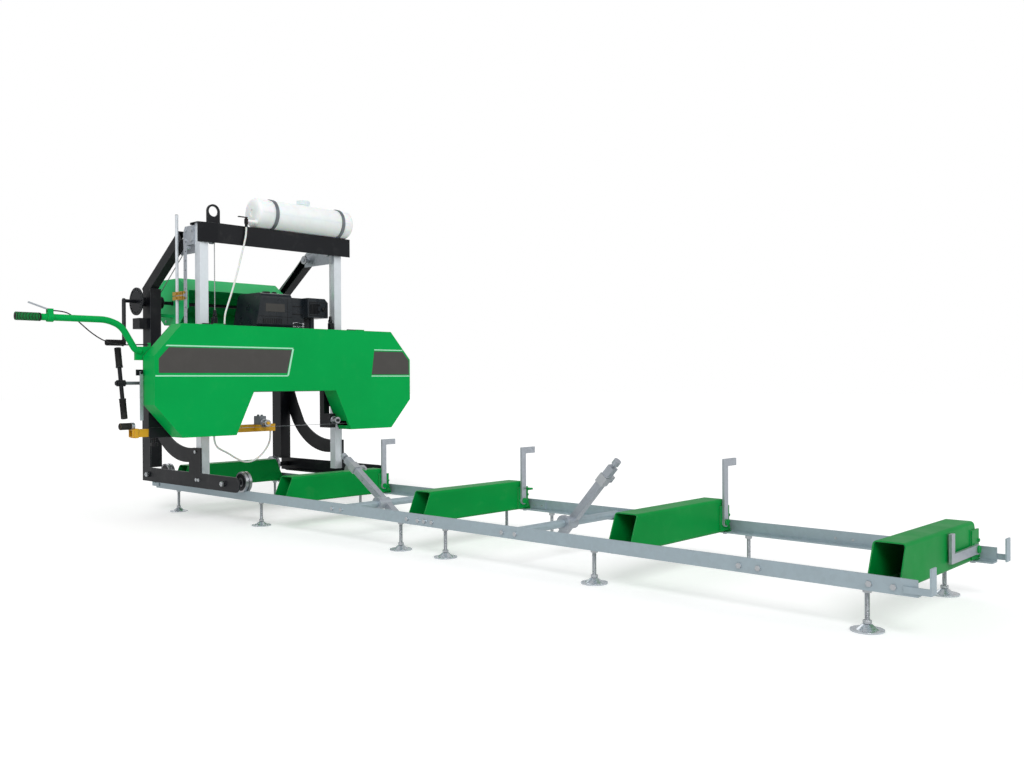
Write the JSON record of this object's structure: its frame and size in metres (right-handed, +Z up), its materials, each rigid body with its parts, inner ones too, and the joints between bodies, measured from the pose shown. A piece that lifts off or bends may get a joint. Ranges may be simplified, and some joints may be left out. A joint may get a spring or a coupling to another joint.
{
  "type": "portable band sawmill",
  "caption": "Portable band sawmill: a saw head on a rolling carriage, lifted by a hand winch, over a track with bunks, log rests and clamps.",
  "frame": {"origin": "on the ground midway between the four corner feet's anchor holes", "axes": "+X along the track away from the parked carriage, +Y across it away from the operator's handle, +Z up"},
  "size_m": [4.6, 2.275, 1.8083],
  "materials": {
    "green_paint": "gloss green paint",
    "black_paint": "satin black paint",
    "silver_steel": "zinc plated steel",
    "yellow_paint": "gloss yellow paint",
    "white_plastic": "milky plastic",
    "black_plastic": "black plastic",
    "engine_alloy": "dark cast alloy",
    "rubber": "black rubber",
    "blade_steel": "band steel"
  },
  "bodies": {
    "track": {"front_rail": "silver_steel", "rear_rail": "silver_steel", "rail_fittings": "silver_steel", "bunks": "green_paint", "jack_screws": "silver_steel", "foot_pads": "silver_steel", "cross_bars": "silver_steel", "track_bolts": "silver_steel"},
    "rest_1": {"log_rest_1": "silver_steel"},
    "rest_2": {"log_rest_2": "silver_steel"},
    "rest_3": {"log_rest_3": "silver_steel"},
    "rest_4": {"log_rest_4": "silver_steel"},
    "clamp_1": {"clamp_post_1": "silver_steel"},
    "hook_1": {"clamp_dog_1": "silver_steel"},
    "clamp_2": {"clamp_post_2": "silver_steel"},
    "hook_2": {"clamp_dog_2": "silver_steel"},
    "carriage": {"side_frame_left": "black_paint", "side_frame_right": "black_paint", "front_posts": "silver_steel", "rear_columns": "black_paint", "top_braces": "black_paint", "top_beam": "black_paint", "gusset_plates": "silver_steel", "winch_bearings": "silver_steel", "winch_hood": "green_paint", "water_tank": "white_plastic", "tank_straps": "silver_steel", "ruler_bar": "silver_steel", "carriage_bolts": "silver_steel", "lift_ropes_upper": "silver_steel", "lift_ropes_lower": "silver_steel", "coolant_hose": "white_plastic"},
    "front_roller_pair": {"front_rollers": "silver_steel"},
    "rear_roller_pair": {"rear_rollers": "silver_steel"},
    "beam_sheave_pair": {"beam_sheaves": "silver_steel"},
    "rear_sheave_pair": {"rear_sheaves": "silver_steel"},
    "crank": {"winch_crank": "silver_steel"},
    "filler_cap": {"tank_cap": "white_plastic"},
    "valve": {"tank_valve_lever": "black_plastic"},
    "head": {"head_frame": "black_paint", "engine_block": "engine_alloy", "engine_cover": "black_plastic", "band_blade": "blade_steel", "drive_belt": "rubber", "push_handle": "green_paint", "throttle_cable": "black_plastic", "coolant_loop": "white_plastic"},
    "drive": {"drive_wheel": "silver_steel"},
    "engine_shaft": {"engine_pulley": "silver_steel"},
    "tension_block": {"idler_block": "silver_steel"},
    "idler": {"idler_wheel": "silver_steel"},
    "tension_screw": {"tension_handle": "silver_steel"},
    "cover": {"wheel_cover": "green_paint"},
    "latch": {"cover_latch": "silver_steel"},
    "arm": {"guide_arm": "yellow_paint"},
    "left_guide": {"guide_roller_left": "silver_steel"},
    "right_guide": {"guide_roller_right": "silver_steel"},
    "arm_lock": {"arm_lock_knob": "black_plastic"},
    "throttle": {"throttle_lever": "silver_steel"}
  },
  "joints": [
    {"name": "carriage_roll", "type": "slide", "parent": "track", "child": "carriage", "axis": [1, 0, 0], "range_m": [-0.05, 3.44]},
    {"name": "front_roller_turn", "type": "hinge", "parent": "carriage", "child": "front_roller_pair", "pos_m": [-1.295, 0, 0.2223], "axis": [0, 1, 0], "range_deg": [-90, 4500]},
    {"name": "rear_roller_turn", "type": "hinge", "parent": "carriage", "child": "rear_roller_pair", "pos_m": [-2.105, 0, 0.2223], "axis": [0, 1, 0], "range_deg": [-90, 4500]},
    {"name": "head_lift", "type": "slide", "parent": "carriage", "child": "head", "axis": [0, 0, 1], "range_m": [-0.18, 0.2], "deforming": ["lift_ropes_lower", "coolant_hose"]},
    {"name": "crank_turn", "type": "hinge", "parent": "carriage", "child": "crank", "pos_m": [-2.15, -0.6, 1.216], "axis": [0, 1, 0], "range_deg": [-360, 330]},
    {"name": "beam_sheave_turn", "type": "hinge", "parent": "carriage", "child": "beam_sheave_pair", "pos_m": [-1.56, 0, 1.53], "axis": [0, 1, 0], "range_deg": [-410, 375]},
    {"name": "rear_sheave_turn", "type": "hinge", "parent": "carriage", "child": "rear_sheave_pair", "pos_m": [-1.79, 0, 1.5], "axis": [0, 1, 0], "range_deg": [-495, 450]},
    {"name": "filler_cap_turn", "type": "hinge", "parent": "carriage", "child": "filler_cap", "pos_m": [-1.54, 0.2, 1.79], "axis": [0, 0, 1], "continuous": true},
    {"name": "valve_turn", "type": "hinge", "parent": "carriage", "child": "valve", "pos_m": [-1.497, -0.207, 1.645], "axis": [0, 0, 1], "range_deg": [0, 90]},
    {"name": "drive_turn", "type": "hinge", "parent": "head", "child": "drive", "pos_m": [-1.37, 0.535, 0.747], "axis": [1, 0, 0], "continuous": true},
    {"name": "engine_turn", "type": "hinge", "parent": "head", "child": "engine_shaft", "pos_m": [-1.42, 0.14, 0.96], "axis": [1, 0, 0], "continuous": true},
    {"name": "tension_slide", "type": "slide", "parent": "head", "child": "tension_block", "axis": [0, 1, 0], "range_m": [0, 0.012]},
    {"name": "idler_turn", "type": "hinge", "parent": "tension_block", "child": "idler", "pos_m": [-1.37, -0.535, 0.747], "axis": [1, 0, 0], "continuous": true},
    {"name": "tension_turn", "type": "hinge", "parent": "head", "child": "tension_screw", "pos_m": [-1.485, -0.93, 0.747], "axis": [0, 1, 0], "range_deg": [-5, 870]},
    {"name": "cover_open", "type": "hinge", "parent": "head", "child": "cover", "pos_m": [-1.4485, 0, 1.057], "axis": [0, 1, 0], "range_deg": [-90, 0]},
    {"name": "latch_swing", "type": "hinge", "parent": "head", "child": "latch", "pos_m": [-1.428, -0.852, 0.8], "axis": [1, 0, 0], "range_deg": [-90, 0]},
    {"name": "arm_slide", "type": "slide", "parent": "head", "child": "arm", "axis": [0, 1, 0], "range_m": [-0.12, 0.05]},
    {"name": "left_guide_turn", "type": "hinge", "parent": "arm", "child": "left_guide", "pos_m": [-1.37, -0.17, 0.5247], "axis": [1, 0, 0], "continuous": true},
    {"name": "right_guide_turn", "type": "hinge", "parent": "head", "child": "right_guide", "pos_m": [-1.37, 0.3, 0.5247], "axis": [1, 0, 0], "continuous": true},
    {"name": "arm_lock_turn", "type": "hinge", "parent": "head", "child": "arm_lock", "pos_m": [-1.48, -0.76, 0.45], "axis": [0, 0, 1], "continuous": true},
    {"name": "throttle_squeeze", "type": "hinge", "parent": "head", "child": "throttle", "pos_m": [-1.45, -1.286, 1.092], "axis": [1, 0, 0], "range_deg": [0, 18]},
    {"name": "rest_1_swing", "type": "hinge", "parent": "track", "child": "rest_1", "pos_m": [-0.9287, 0.29, 0.175], "axis": [1, 0, 0], "range_deg": [0, 90]},
    {"name": "rest_2_swing", "type": "hinge", "parent": "track", "child": "rest_2", "pos_m": [0.1063, 0.29, 0.175], "axis": [1, 0, 0], "range_deg": [0, 90]},
    {"name": "rest_3_swing", "type": "hinge", "parent": "track", "child": "rest_3", "pos_m": [1.2013, 0.29, 0.175], "axis": [1, 0, 0], "range_deg": [0, 90]},
    {"name": "rest_4_swing", "type": "hinge", "parent": "track", "child": "rest_4", "pos_m": [2.1563, 0.29, 0.175], "axis": [1, 0, 0], "range_deg": [-90, 0]},
    {"name": "clamp_1_slide", "type": "slide", "parent": "track", "child": "clamp_1", "axis": [0, 1, 0], "range_m": [-0.1, 0.15]},
    {"name": "hook_1_slide", "type": "slide", "parent": "clamp_1", "child": "hook_1", "axis": [-0.8387, 0, 0.5446], "range_m": [0, 0.05]},
    {"name": "clamp_2_slide", "type": "slide", "parent": "track", "child": "clamp_2", "axis": [0, 1, 0], "range_m": [-0.15, 0.1]},
    {"name": "hook_2_slide", "type": "slide", "parent": "clamp_2", "child": "hook_2", "axis": [0.6691, 0, 0.7431], "range_m": [0, 0.05]}
  ],
  "couplings": [
    {"joint": "front_roller_turn", "follows": "carriage_roll", "rad_per_m": 22.188},
    {"joint": "rear_roller_turn", "follows": "carriage_roll", "rad_per_m": 22.188},
    {"joint": "crank_turn", "follows": "head_lift", "rad_per_m": -30.488},
    {"joint": "beam_sheave_turn", "follows": "head_lift", "rad_per_m": -34.722},
    {"joint": "rear_sheave_turn", "follows": "head_lift", "rad_per_m": -42.017},
    {"joint": "idler_turn", "follows": "drive_turn", "ratio": 1},
    {"joint": "engine_turn", "follows": "drive_turn", "ratio": 2.0526},
    {"joint": "left_guide_turn", "follows": "drive_turn", "ratio": 12.7},
    {"joint": "right_guide_turn", "follows": "drive_turn", "ratio": 12.7},
    {"joint": "tension_turn", "follows": "tension_slide", "rad_per_m": 1256.6}
  ]
}
